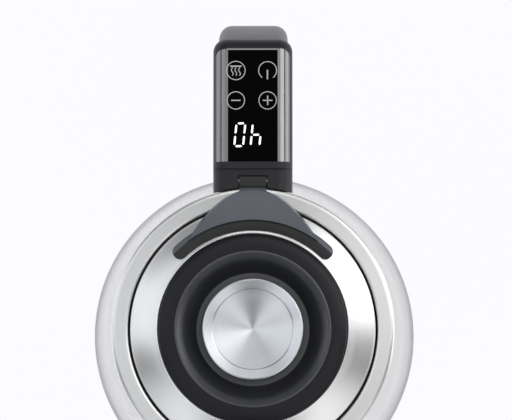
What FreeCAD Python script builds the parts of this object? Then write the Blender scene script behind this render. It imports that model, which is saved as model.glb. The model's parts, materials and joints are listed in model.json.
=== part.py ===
import FreeCAD, Part
import math
import os
import re
import Sketcher

# Cordless glass kettle with a touch-control handle, standing on its power base.
# Millimetres. Origin on the jug's axis where the foot ring meets the table.
# +Z is up, the handle points towards +Y and the spout towards -Y.

# ---------------------------------------------------------------- driving dimensions
# A size is a number, or what it follows from when it has to keep its fit with another piece.
DIMENSIONS = [
    # power base
    ("base_radius", "glass_radius - base_step", "outside of the power base"),
    ("base_step", 2, "power base inside the glass's foot"),
    ("base_height", 20, "deck of the power base above the table"),
    ("base_edge", 3, "rounding of the base's top edge"),
    ("case_wall", 2.2, "wall of the base's shell"),
    ("deck_wall", 3.6, "thickness of the base's deck"),
    ("foot_height", 2, "how far the foot ring stands out of the base"),
    ("foot_seat", 1, "depth of the foot ring's groove"),
    ("foot_radius", "base_radius - foot_inset", "mean radius of the foot ring"),
    ("foot_inset", 14, "foot ring in from the base's edge"),
    ("foot_width", 8, "width of the foot ring"),
    ("cover_wall", 2, "thickness of the base's bottom cover"),
    ("plug_radius", 13.3, "outside of the connector plug"),
    ("plug_rise", 13, "how far the plug stands above the deck"),
    ("plug_flange", "plug_radius + flange_step", "radius of the plug's flange under the deck"),
    ("flange_step", 6.7, "how far the plug's flange stands out"),
    ("flange_thick", 4.4, "thickness of the plug's flange"),
    ("well_radius", 5.8, "well round the centre pin"),
    ("pin_radius", 2.4, "centre pin of the plug"),
    ("contact_radius", "plug_radius - contact_inset", "mean radius of the ring contact"),
    ("contact_inset", 3.8, "ring contact in from the plug's edge"),
    ("contact_wall", 0.7, "thickness of the ring contact"),
    ("groove_width", 2.4, "groove round the ring contact"),
    ("groove_depth", 8, "depth of that groove"),
    ("glide_inner", "plug_radius + glide_gap", "inside of the glide ring"),
    ("glide_gap", 2, "glide ring out from the plug"),
    ("glide_outer", "glide_inner + glide_width", "outside of the glide ring"),
    ("glide_width", 9.7, "width of the glide ring"),
    ("glide_thick", 1.2, "thickness of the glide ring"),
    ("gland_bore", 3.6, "radius of the cord gland's bore"),
    ("gland_radius", 5, "radius of the gland in the wall"),
    ("gland_flange", 6, "radius of the gland's flanges"),
    ("gland_rise", 10.2, "height of the gland's axis"),
    ("gland_length", 11, "length of the gland"),
    ("gland_lip", 3, "thickness of the gland's flanges"),
    ("boss_radius", 4, "screw bosses of the base"),
    ("boss_circle", "base_radius - boss_inset", "circle of the base's screws"),
    ("boss_inset", 28, "base screws in from the base's edge"),
    # fits
    ("seat_gap", 0.3, "running gap between pieces that move on each other"),
    ("fit_gap", 0.2, "gap of a loose fit between fixed pieces"),
    # underside of the jug
    ("cover_radius", "glass_radius - cover_step", "outside of the jug's bottom cover"),
    ("cover_step", 1.8, "jug's bottom cover inside the glass's foot"),
    ("cover_height", 20.7, "bottom cover from its floor to its rim"),
    ("cover_flat", "cover_radius - cover_turn", "flat underside of the bottom cover"),
    ("cover_turn", 8.2, "rounded edge of the bottom cover"),
    ("shell_wall", 2.4, "wall of the bottom cover"),
    ("band_thick", 0.8, "steel band's sheet"),
    ("band_height", 13, "height of the steel band"),
    ("socket_wall", 3.6, "wall of the connector socket"),
    ("socket_gap", 0.5, "gap between plug and socket"),
    ("socket_flange", 3, "how far the socket's flange stands out"),
    ("socket_rise", 2.5, "socket's ceiling above the plug"),
    ("socket_roof", 2.5, "thickness of the socket's roof"),
    ("cutout_radius", 6, "radius of the thermal cut-out discs"),
    ("cutout_offset", 9, "cut-out discs beside the axis"),
    ("sensor_radius", 2.6, "radius of the temperature sensor"),
    ("sensor_offset", 26, "sensor in front of the axis"),
    ("tab_thick", 1.6, "thickness of the element's terminals"),
    ("grip_screw_length", 14, "length of the screw in the grip's foot"),
    ("plate_radius", "cover_radius - plate_step", "outside of the heating plate"),
    ("plate_step", 3.9, "heating plate in from the bottom cover's edge"),
    ("plate_thick", 0.8, "sheet of the heating plate"),
    ("plate_rim", 7, "height of the heating plate's rim"),
    ("spreader_radius", "plate_radius - spreader_step", "outside of the heat spreader"),
    ("spreader_step", 12.3, "heat spreader in from the plate's edge"),
    ("spreader_thick", 3, "thickness of the heat spreader"),
    ("element_circle", "spreader_radius - element_inset", "circle of the tubular heating element"),
    ("element_inset", 12, "heating element in from the spreader's edge"),
    ("element_radius", 3.5, "radius of the element's tube"),
    ("element_angle", 320, "how far round the element runs"),
    ("seal_step", 1.8, "step of the lower seal under the plate"),
    ("seal_lip", 0.5, "lip of the lower seal over the rim"),
    # glass
    ("glass_radius", 80, "outside of the glass at its foot"),
    ("mouth_radius", 60, "outside of the glass at its top"),
    ("glass_height", 150, "height of the glass"),
    ("glass_wall", 2.8, "wall of the glass"),
    ("glass_foot", 3, "rounded foot of the glass"),
    ("glass_lean", 10, "how far the glass leans out below its mouth"),
    # collar and spout
    ("collar_radius", "mouth_radius + collar_fit", "outside of the steel collar"),
    ("collar_fit", 2.6, "collar round the glass's mouth"),
    ("collar_height", 28, "height of the steel collar"),
    ("collar_sheet", 0.8, "sheet of the collar"),
    ("collar_shoulder", 2, "rounding of the collar's shoulder"),
    ("seam_radius", "collar_radius - collar_width", "inner edge of the collar"),
    ("collar_width", 7.7, "width of the collar's top"),
    ("lip_depth", 5, "depth of the collar's inner lip"),
    ("liner_inner", "seam_radius - liner_step", "inside of the collar's liner"),
    ("liner_step", 2.9, "how far the liner's shelf stands in"),
    ("liner_wall", 2.1, "wall of the collar's liner"),
    ("flange_seat", 2.5, "thickness of the liner's flange"),
    ("washer_thick", 1, "thickness of the seal on the glass"),
    ("collar_rise", 21, "top of the collar above the seal"),
    ("neck_screw_offset", 10, "neck screws beside the middle"),
    ("neck_screw_rise", 14, "neck screws above the collar's foot"),
    ("spout_reach", "collar_radius + spout_out", "tip of the spout from the axis"),
    ("spout_out", 18.2, "how far the spout stands out of the collar"),
    ("spout_start", 0.6, "how far the spout's foot stands out of the collar"),
    ("spout_half", 24.8, "half width of the spout at its root"),
    ("spout_foot", 10, "half width of the spout at its foot"),
    ("spout_nose", 4, "rounded tip of the spout"),
    # handle
    ("handle_width", 35.2, "width of the handle's top"),
    ("handle_rise", 2, "top of the handle above the collar"),
    ("handle_depth", 22, "depth of the handle's housing"),
    ("handle_corner", 6.6, "rounding of the housing's long edges"),
    ("housing_end", "glass_radius + handle_reach", "far end of the housing from the axis"),
    ("handle_reach", 49, "how far the handle's top reaches past the glass"),
    ("end_round", 6, "rounding of the housing's far end"),
    ("neck_end", "collar_radius + neck_length", "seam between neck and housing"),
    ("neck_length", 8.2, "length of the neck"),
    ("neck_drop", 1.4, "step from the housing down to the neck"),
    ("panel_start", "neck_end + near_bezel", "near edge of the touch panel"),
    ("near_bezel", 3, "casing before the touch panel"),
    ("panel_end", "housing_end - far_bezel", "far edge of the touch panel"),
    ("far_bezel", 5, "casing behind the touch panel"),
    ("panel_margin", 1.2, "casing beside the touch panel"),
    ("panel_thick", 1, "thickness of the touch panel"),
    ("panel_corner", 4, "corners of the touch panel"),
    ("housing_floor", 2, "floor of the housing"),
    ("board_half", 14, "half width of the display board"),
    ("board_thick", 1.6, "thickness of the circuit boards"),
    ("board_ledge", 1.8, "ledge that the display board lies on"),
    ("board_depth", 7, "display board below the handle's top"),
    ("module_half", 9.5, "half width of the display module"),
    ("module_length", 14.5, "length of the display module"),
    ("pad_radius", 3.6, "radius of the touch pads"),
    ("pad_offset", 7, "touch pads beside the middle"),
    ("near_pads", 27, "nearer touch pads from the panel's near edge"),
    ("far_pads", 40.2, "farther touch pads from the panel's near edge"),
    ("buzzer_radius", 5.5, "radius of the buzzer"),
    ("buzzer_height", 4.5, "height of the buzzer"),
    ("grip_width", 31.8, "width of the grip"),
    ("grip_wall", 3, "thickness of the grip's inner shell"),
    ("grip_round", 6, "rounding of the grip's back"),
    ("channel_half", 5, "half width of the cable channel in the grip"),
    ("harness_radius", 1.6, "radius of the wiring harness"),
    # hinge
    ("hinge_offset", 3, "hinge axis behind the collar"),
    ("hinge_drop", 2.5, "hinge axis below the collar's top"),
    ("hinge_pin", 1.25, "radius of the hinge pin"),
    ("hinge_fit", 0.08, "radial play of the knuckle on its pin"),
    ("knuckle_radius", 2.6, "radius of the hinge knuckle"),
    ("barrel_radius", 3.5, "rounded back of the hinge's barrel, flush with the neck"),
    ("knuckle_half", 6, "half width of the hinge knuckle"),
    ("hinge_pin_half", 11, "half length of the hinge pin"),
    # lid
    ("lid_radius", "seam_radius - lid_gap", "outside of the lid"),
    ("lid_gap", 0.9, "gap round the lid"),
    ("lid_skirt", 5, "height of the lid's skirt"),
    ("lid_sheet", 0.7, "sheet of the lid's steel"),
    ("lid_dome", 3.2, "rise of the lid's steel towards its middle"),
    ("ring_radius", "lid_radius - dome_width", "outside of the black ring"),
    ("dome_width", 12.4, "width of the lid's steel"),
    ("crest_radius", "ring_radius - ring_width", "crest between ring and bowl"),
    ("ring_width", 7.1, "width of the black ring"),
    ("crest_rise", 5.6, "crest above the collar's top"),
    ("bowl_floor", 7, "floor of the bowl below the collar's top"),
    ("bowl_radius", "crest_radius - bowl_slope", "flat floor of the bowl"),
    ("bowl_slope", 9.5, "width of the bowl's side"),
    ("bowl_wall", 2, "wall of the bowl"),
    ("knob_radius", "bowl_radius - knob_gap", "radius of the steel knob disc"),
    ("knob_gap", 2.7, "floor left round the knob"),
    ("knob_dish", "knob_radius - knob_rim", "radius of the dish in the knob disc"),
    ("knob_rim", 4.8, "rim of the knob disc"),
    ("knob_top", 0.2, "rim of the knob below the collar's top"),
    ("lid_depth", 11, "underside of the lid below the collar's top"),
    ("liner_thick", 1.6, "sheet of the lid's underside"),
    ("lid_liner_radius", "lid_radius - liner_inset", "outside of the lid's underside"),
    ("liner_inset", 1.4, "lid's underside in from its edge"),
    ("lid_seal_radius", "lid_radius + seal_press", "outside of the lid's seal"),
    ("seal_press", 0.3, "how far the seal stands out of the lid"),
    ("lid_seal_height", 2, "height of the lid's seal"),
    ("bridge_front", "ring_radius + bridge_seat", "inner arc of the hinge bridge's pad"),
    ("bridge_seat", 1.7, "bridge's pad out from the black ring"),
    ("bridge_step", "bridge_front + step_width", "front arc of the hinge bridge's top"),
    ("step_width", 4.5, "front of the bridge's top behind the pad's front"),
    ("bridge_back", "bridge_front + pad_width", "outer arc of the hinge bridge's pad"),
    ("pad_width", 6.6, "width of the bridge's pad"),
    ("bridge_angle", 86.6, "how far round the pad runs"),
    ("bridge_tip", 30.8, "half width of the hinge bridge"),
    ("bridge_rear", "collar_radius - rear_inset", "rear of the hinge bridge"),
    ("rear_inset", 0.6, "rear of the bridge in from the collar's edge"),
    ("bridge_rise", 5.9, "top of the hinge bridge above the collar"),
    ("bridge_slope", 1.2, "fall of its top towards the handle"),
    ("bridge_bevel", 1.6, "how far the bridge's sides lean in"),
    ("bridge_clear", 0.4, "gap between bridge and collar"),
    # screws
    ("screw_radius", 1.4, "shank of the screws"),
    ("head_radius", 2.6, "head of the screws"),
    ("head_height", 1.4, "height of the screw heads"),
]

doc = FreeCAD.newDocument("glass_kettle")
sheet = doc.addObject("Spreadsheet::Sheet", "Dims")
for row, (name, _, _) in enumerate(DIMENSIONS, start=1):
    sheet.setAlias("B%d" % row, name)
for row, (_, size, meaning) in enumerate(DIMENSIONS, start=1):
    sheet.set("A%d" % row, meaning)
    sheet.set("B%d" % row, "=%s" % size)
doc.recompute()
ALIASES = {name for name, _, _ in DIMENSIONS}


# ---------------------------------------------------------------- working with the sheet
def bind(expression):
    """Write the aliases in an expression as references to the sheet."""
    return re.sub(r"[a-z][a-z_]*", lambda word: "Dims." * (word[0] in ALIASES) + word[0], expression)


def value(expression):
    return float(sheet.evalExpression(bind(expression)))


# ---------------------------------------------------------------- sketches and features
def draw(body, name, role, loops, offset="0"):
    """Add a sketch of closed loops to a body.

    A loop is a list of corners (x, y), with the control points of a smooth curve
    as a list between two corners. All are expressions on the sheet.
    """
    sketch = body.newObject("Sketcher::SketchObject", name)
    plane = [feature for feature in body.Origin.OriginFeatures if feature.Role == role][0]
    sketch.AttachmentSupport = [(plane, "")]
    sketch.MapMode = "FlatFace"
    sketch.setExpression("AttachmentOffset.Base.z", bind("(%s) * 1 mm" % offset))
    for loop in loops:
        draw_loop(sketch, loop)
    return sketch


def draw_loop(sketch, loop):
    corners = [item for item in loop if isinstance(item, tuple)]
    curves = [[] for _ in corners]
    for item in loop:
        if isinstance(item, tuple):
            current = corners.index(item)
        else:
            curves[current] = item
    edges = []
    for index, corner in enumerate(corners):
        following = corners[(index + 1) % len(corners)]
        path = [corner] + curves[index] + [following]
        points = [FreeCAD.Vector(value(x), value(y), 0) for x, y in path]
        if curves[index]:
            degree = min(3, len(points) - 1)
            knots = list(range(len(points) - degree + 1))
            repeats = [degree + 1] + [1] * (len(knots) - 2) + [degree + 1]
            curve = Part.BSplineCurve()
            curve.buildFromPolesMultsKnots(points, repeats, knots, False, degree)
            edges.append(sketch.addGeometry(curve, False))
        else:
            edges.append(sketch.addGeometry(Part.LineSegment(points[0], points[1]), False))
    for index, edge in enumerate(edges):
        sketch.addConstraint(Sketcher.Constraint("Coincident", edge, 2, edges[(index + 1) % len(edges)], 1))
        hold(sketch, edge, 1, corners[index])
    for edge, poles in zip(edges, curves):
        if poles:
            first = len(sketch.Geometry)
            sketch.exposeInternalGeometry(edge)
            for step, pole in enumerate(poles, start=1):
                hold(sketch, first + step, 3, pole)


def hold(sketch, geometry, point, place):
    """Tie a point of the sketch to its place on the sheet."""
    for kind, expression in zip(("DistanceX", "DistanceY"), place):
        limit = sketch.addConstraint(Sketcher.Constraint(kind, -1, 1, geometry, point, value(expression)))
        sketch.setExpression("Constraints[%d]" % limit, bind("(%s) * 1 mm" % expression))


def new_body(label):
    body = doc.addObject("PartDesign::Body", label)
    body.Label = label
    return body


def revolved(label, *loops):
    """A body turned about the Z axis from loops of (radius, height)."""
    body = new_body(label)
    sketch = draw(body, label + "_profile", "XZ_Plane", loops)
    turn = body.newObject("PartDesign::Revolution", label + "_turn")
    turn.Profile = sketch
    turn.ReferenceAxis = (sketch, ["V_Axis"])
    turn.Angle = 360
    return body


def padded(label, role, loop, length, offset="0", both_ways=False):
    """A body padded from one loop on an origin plane, moved along the plane's normal."""
    body = new_body(label)
    sketch = draw(body, label + "_outline", role, [loop], offset)
    pad = body.newObject("PartDesign::Pad", label + "_pad")
    pad.Profile = sketch
    pad.setExpression("Length", bind("(%s) * 1 mm" % length))
    if both_ways:
        pad.SideType = "Symmetric"
    return body


def lofted(label, lower, lower_height, upper, upper_height):
    """A body lofted between two outlines at two heights."""
    body = new_body(label)
    foot = draw(body, label + "_foot", "XY_Plane", [lower], lower_height)
    head = draw(body, label + "_head", "XY_Plane", [upper], upper_height)
    loft = body.newObject("PartDesign::AdditiveLoft", label + "_loft")
    loft.Profile = foot
    loft.Sections = [head]
    loft.Ruled = True
    return body


def rounded(body, radius, chosen):
    """Fillet the edges of a body's last feature that the test picks."""
    doc.recompute()
    base = body.Tip
    names = ["Edge%d" % number for number, edge in enumerate(base.Shape.Edges, start=1) if chosen(edge)]
    fillet = body.newObject("PartDesign::Fillet", body.Label + "_round")
    fillet.Base = (base, names)
    fillet.setExpression("Radius", bind("(%s) * 1 mm" % radius))
    return body


def place(thing, x="0", y="0", z="0"):
    for axis, expression in zip("xyz", (x, y, z)):
        thing.setExpression("Placement.Base." + axis, bind("(%s) * 1 mm" % expression))


def cylinder(label, radius, height, x="0", y="0", z="0", turned=None):
    rod = doc.addObject("Part::Cylinder", label)
    rod.Label = label
    rod.setExpression("Radius", bind("(%s) * 1 mm" % radius))
    rod.setExpression("Height", bind("(%s) * 1 mm" % height))
    if turned:
        rod.Placement.Rotation = turned
    place(rod, x, y, z)
    return rod


def box(label, x, y, z):
    """A box between pairs of expressions along each axis."""
    block = doc.addObject("Part::Box", label)
    block.Label = label
    for size, (low, high) in zip(("Length", "Width", "Height"), (x, y, z)):
        block.setExpression(size, bind("((%s) - (%s)) * 1 mm" % (high, low)))
    place(block, x[0], y[0], z[0])
    return block


def cut(label, base, *tools):
    """The base less each tool in turn."""
    for number, tool in enumerate(tools, start=1):
        last = number == len(tools)
        name = label if last else "%s_cut_%d" % (label, number)
        less = doc.addObject("Part::Cut", name)
        less.Label = name
        less.Base = base
        less.Tool = tool
        base = less
    return base


def fused(label, *pieces):
    union = doc.addObject("Part::MultiFuse", label)
    union.Label = label
    union.Shapes = list(pieces)
    return union


def common(label, first, second):
    shared = doc.addObject("Part::Common", label)
    shared.Label = label
    shared.Base = first
    shared.Tool = second
    return shared


def group(label, pieces):
    together = doc.addObject("Part::Compound", label)
    together.Label = label
    together.Links = list(pieces)
    return together


ALONG_X = FreeCAD.Rotation(FreeCAD.Vector(0, 1, 0), 90)
ALONG_Y = FreeCAD.Rotation(FreeCAD.Vector(1, 0, 0), -90)
UPRIGHT = FreeCAD.Rotation()
DOWNWARD = FreeCAD.Rotation(FreeCAD.Vector(1, 0, 0), 180)


def screws(label, places, length, turned=UPRIGHT):
    """Identical screws, each with the outer face of its head at its place."""
    pieces = []
    for number, (x, y, z) in enumerate(places, start=1):
        name = "%s_%d" % (label, number)
        head = cylinder(name + "_head", "head_radius", "head_height", x, y, z, turned)
        shank = cylinder(name + "_shank", "screw_radius", length, x, y, z, turned)
        pieces.append(fused(name, head, shank))
    return group(label, pieces)


def around(circle, count, height, first=0):
    """Places spaced evenly round the axis, at a height."""
    angles = [first + 360 * step / count for step in range(count)]
    return [("(%s) * cos(%g)" % (circle, angle), "(%s) * sin(%g)" % (circle, angle), height)
            for angle in angles]


NODES = []


def node(piece):
    NODES.append(piece)
    return piece


# ---------------------------------------------------------------- heights up the axis
deck = "base_height"
deck_under = "(base_height - deck_wall)"
recess_floor = "(base_height - glide_thick - seat_gap)"
cover_top = "(foot_height + cover_wall)"
flange_under = "(base_height - deck_wall - flange_thick)"
plug_top = "(base_height + plug_rise)"
jug_floor = "(base_height + seat_gap)"
rim = "(base_height + seat_gap + cover_height)"
socket_ceiling = "(base_height + plug_rise + socket_rise)"
socket_top = "(base_height + plug_rise + socket_rise + socket_roof)"
glass_low = "(base_height + seat_gap + cover_height + washer_thick)"
plate_under = "(base_height + seat_gap + cover_height + spreader_thick)"
glass_top = "(%s + glass_height)" % glass_low
flange_low = "(%s + washer_thick)" % glass_top
flange_top = "(%s + flange_seat)" % flange_low
collar_top = "(%s + collar_rise)" % flange_low
collar_low = "(%s - collar_height)" % collar_top
handle_top = "(%s + handle_rise)" % collar_top
handle_low = "(%s - handle_depth)" % handle_top
neck_top = "(%s - neck_drop)" % handle_top
hinge_height = "(%s - hinge_drop)" % collar_top
hinge_back = "(collar_radius + hinge_offset)"
grip_screw_height = "(%s - band_height + 3)" % rim
harness_height = "(%s - 3.6)" % rim
harness_top = "(housing_end - 12)"


# ---------------------------------------------------------------- power base
def build_base():
    groove_in = "(foot_radius - foot_width / 2)"
    groove_out = "(foot_radius + foot_width / 2)"
    groove_top = "(foot_height + foot_seat)"
    node(revolved("base_foot_ring", [
        (groove_in, "0"), (groove_out, "0"), (groove_out, groove_top), (groove_in, groove_top)]))
    cover_edge = "(base_radius - case_wall - fit_gap)"
    cover = revolved("base_cover_blank", [
        ("0", "foot_height"), (groove_in, "foot_height"), (groove_in, groove_top),
        (groove_out, groove_top), (groove_out, "foot_height"), (cover_edge, "foot_height"),
        (cover_edge, cover_top), ("0", cover_top)])
    base_screws = screws("base_screws", around("boss_circle", 3, "foot_height", 30), "base_height - deck_wall")
    node(base_screws)
    node(cut("base_bottom_cover", cover, base_screws))

    wall_in = "(base_radius - case_wall)"
    shell = revolved("base_shell_blank", [
        (wall_in, "foot_height"), ("base_radius", "foot_height"), ("base_radius", deck + " - base_edge"),
        [("base_radius", deck)], ("base_radius - base_edge", deck),
        ("glide_outer + seat_gap", deck), ("glide_outer + seat_gap", recess_floor),
        ("glide_inner - seat_gap", recess_floor), ("glide_inner - seat_gap", deck),
        ("plug_radius + fit_gap", deck), ("plug_radius + fit_gap", deck_under), (wall_in, deck_under)])
    bosses = [cylinder("boss_%d" % number, "boss_radius", deck_under + " - " + cover_top, *spot)
              for number, spot in enumerate(around("boss_circle", 3, cover_top, 30))]
    gland_start = "(base_radius + gland_lip - gland_length)"
    hole = cylinder("gland_hole", "gland_radius", "gland_length", "0", gland_start, "gland_rise", ALONG_Y)
    plug_screws = screws("plug_screws",
                         around("(plug_radius + plug_flange) / 2", 3, flange_under + " - head_height"),
                         "flange_thick + head_height + 1.5")
    node(plug_screws)
    node(cut("base_top_cover", fused("base_shell_bossed", shell, *bosses), base_screws, plug_screws, hole))

    sleeve = cylinder("gland_sleeve", "gland_radius", "gland_length", "0", gland_start, "gland_rise", ALONG_Y)
    outer_lip = cylinder("gland_outer_lip", "gland_flange", "gland_lip", "0", "base_radius", "gland_rise",
                         ALONG_Y)
    inner_place = "(base_radius - case_wall - gland_lip - 0.4)"
    inner_lip = cylinder("gland_inner_lip", "gland_flange", "gland_lip", "0", inner_place, "gland_rise",
                         ALONG_Y)
    bore = cylinder("gland_bore_tool", "gland_bore", "gland_length + 2", "0", gland_start + " - 1",
                    "gland_rise", ALONG_Y)
    node(cut("cord_gland", fused("gland_blank", sleeve, outer_lip, inner_lip), bore))
    return plug_screws


def build_connector(plug_screws):
    groove_in = "(contact_radius - groove_width / 2)"
    groove_out = "(contact_radius + groove_width / 2)"
    groove_floor = "(%s - groove_depth)" % plug_top
    well_floor = "(%s + 1)" % deck_under
    plug = revolved("plug_blank", [
        ("pin_radius", flange_under), ("plug_flange", flange_under), ("plug_flange", deck_under),
        ("plug_radius", deck_under), ("plug_radius", plug_top + " - 1.5"), [("plug_radius", plug_top)],
        ("plug_radius - 1.5", plug_top), (groove_out, plug_top), (groove_out, groove_floor),
        (groove_in, groove_floor), (groove_in, plug_top), ("well_radius", plug_top),
        ("well_radius", well_floor), ("pin_radius", well_floor)])
    node(cut("connector_plug", plug, plug_screws))
    pin_top = plug_top + " - 1"
    node(revolved("connector_center_pin", [
        ("0", flange_under + " - 3"), ("pin_radius", flange_under + " - 3"), ("pin_radius", pin_top + " - 1.2"),
        [("pin_radius", pin_top)], ("0", pin_top)]))
    ring_in = "(contact_radius - contact_wall / 2)"
    ring_out = "(contact_radius + contact_wall / 2)"
    node(revolved("connector_ring_contact", [
        (ring_in, groove_floor), (ring_out, groove_floor), (ring_out, pin_top), (ring_in, pin_top)]))
    node(revolved("glide_ring", [
        ("glide_inner", recess_floor + " + seat_gap"), ("glide_outer", recess_floor + " + seat_gap"),
        ("glide_outer", deck), ("glide_inner", deck)]))


# ---------------------------------------------------------------- underside of the jug
def build_jug_bottom():
    socket_in = "(plug_radius + socket_gap)"
    socket_out = "(plug_radius + socket_gap + socket_wall)"
    floor_top = "(base_height + seat_gap + shell_wall)"
    wall_in = "(cover_radius - shell_wall)"
    cover = revolved("jug_cover_blank", [
        (socket_out, jug_floor), ("cover_flat", jug_floor), [("cover_radius - 1", jug_floor)],
        ("cover_radius", jug_floor + " + 7"), ("cover_radius", rim), (wall_in, rim),
        (wall_in, jug_floor + " + 8"), [(wall_in, floor_top)], ("cover_flat - 2", floor_top),
        (socket_out, floor_top)])
    band = revolved("band_blank", [
        ("cover_radius", rim + " - band_height"), ("cover_radius + band_thick", rim + " - band_height"),
        ("cover_radius + band_thick", rim), ("cover_radius", rim)])
    grip_screw = screws("grip_screw", [("0", wall_in + " - head_height - 0.1", grip_screw_height)],
                        "grip_screw_length", ALONG_Y)
    node(grip_screw)
    cable_hole = cylinder("cable_hole", "harness_radius + fit_gap", "20", "0", "cover_radius - 10",
                          harness_height, ALONG_Y)
    node(cut("jug_bottom_cover", cover, grip_screw, cable_hole))
    node(cut("lower_band", band, grip_screw, cable_hole))

    stem_in = "(pin_radius + 0.8)"
    stem_out = "(well_radius - 0.6)"
    stem_low = "(%s + 2.6)" % deck_under
    flange_out = "(%s + socket_flange)" % socket_out
    node(revolved("connector_socket", [
        (stem_in, stem_low), (stem_out, stem_low), (stem_out, socket_ceiling), (socket_in, socket_ceiling),
        (socket_in, jug_floor), (socket_out, jug_floor), (socket_out, floor_top), (flange_out, floor_top),
        (flange_out, floor_top + " + 2"), (socket_out, floor_top + " + 2"), (socket_out, socket_top),
        ("0", socket_top), ("0", socket_ceiling), (stem_in, socket_ceiling)]))
    ring_in = "(contact_radius - contact_wall / 2)"
    ring_out = "(contact_radius + contact_wall / 2)"
    ring_low = "(%s - 1 + seat_gap)" % plug_top
    node(revolved("socket_contacts", [
        ("pin_radius + seat_gap", stem_low), (stem_in, stem_low), (stem_in, socket_ceiling),
        ("pin_radius + seat_gap", socket_ceiling)], [
        (ring_in, ring_low), (ring_out, ring_low), (ring_out, socket_ceiling), (ring_in, socket_ceiling)]))

    spreader_low = "(%s - spreader_thick)" % plate_under
    discs = [cylinder("cutout_disc_%d" % side, "cutout_radius", spreader_low + " - " + socket_top,
                      "%d * cutout_offset" % side, "0", socket_top) for side in (-1, 1)]
    node(group("cutout_discs", discs))
    plate_in = "(plate_radius - plate_thick)"
    plate = revolved("plate_blank", [
        ("0", plate_under), ("plate_radius", plate_under), ("plate_radius", plate_under + " + plate_rim"),
        (plate_in, plate_under + " + plate_rim"), (plate_in, plate_under + " + plate_thick"),
        ("0", plate_under + " + plate_thick")])
    sensor_low = spreader_low + " - 3"
    sensor_top = plate_under + " + plate_thick + 3"
    sensor = revolved("temperature_sensor", [
        ("0", sensor_low), ("sensor_radius", sensor_low), ("sensor_radius", sensor_top + " - 2"),
        [("sensor_radius", sensor_top)], ("0", sensor_top)])
    place(sensor, "0", "0 - sensor_offset")
    node(sensor)
    node(cut("heating_plate", plate, sensor))

    element = doc.addObject("Part::Torus", "heating_element")
    element.Label = "heating_element"
    element.setExpression("Radius1", bind("element_circle * 1 mm"))
    element.setExpression("Radius2", bind("element_radius * 1 mm"))
    element.setExpression("Angle3", bind("element_angle * 1 deg"))
    place(element, "0", "0", spreader_low + " - element_radius + 1.5")
    node(element)
    spreader = cylinder("spreader_blank", "spreader_radius", "spreader_thick", "0", "0", spreader_low)
    node(cut("heat_spreader", spreader, element, sensor))
    tabs = []
    for end, turn, low in (("first", 0, -value("tab_thick")), ("last", value("element_angle"), 0)):
        tab = doc.addObject("Part::Box", "terminal_" + end)
        tab.setExpression("Length", bind("(element_radius + 1.5) * 1 mm"))
        tab.setExpression("Width", bind("tab_thick * 1 mm"))
        tab.setExpression("Height", bind("(element_radius * 2 + 6) * 1 mm"))
        corner = FreeCAD.Vector(value("element_circle - element_radius / 2 - 0.75"), low,
                                value(spreader_low + " - element_radius * 2 - 6.2"))
        spin = FreeCAD.Rotation(FreeCAD.Vector(0, 0, 1), turn)
        tab.Placement = FreeCAD.Placement(spin.multVec(corner), spin)
        tabs.append(tab)
    node(group("element_terminals", tabs))

    bore = "(glass_radius - glass_wall)"
    foot_top = "(%s + glass_foot)" % glass_low
    band_out = "(cover_radius + band_thick)"
    node(revolved("lower_seal", [
        ("plate_radius", plate_under), ("plate_radius", plate_under + " + plate_rim"),
        (plate_in, plate_under + " + plate_rim"), (plate_in, plate_under + " + plate_rim + seal_lip"),
        (bore + " - fit_gap", plate_under + " + plate_rim + seal_lip"), (bore, foot_top), (bore, glass_low),
        (band_out, glass_low),
        (band_out, rim), ("plate_radius - seal_step", rim), ("plate_radius - seal_step", plate_under)]))
    return grip_screw


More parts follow.
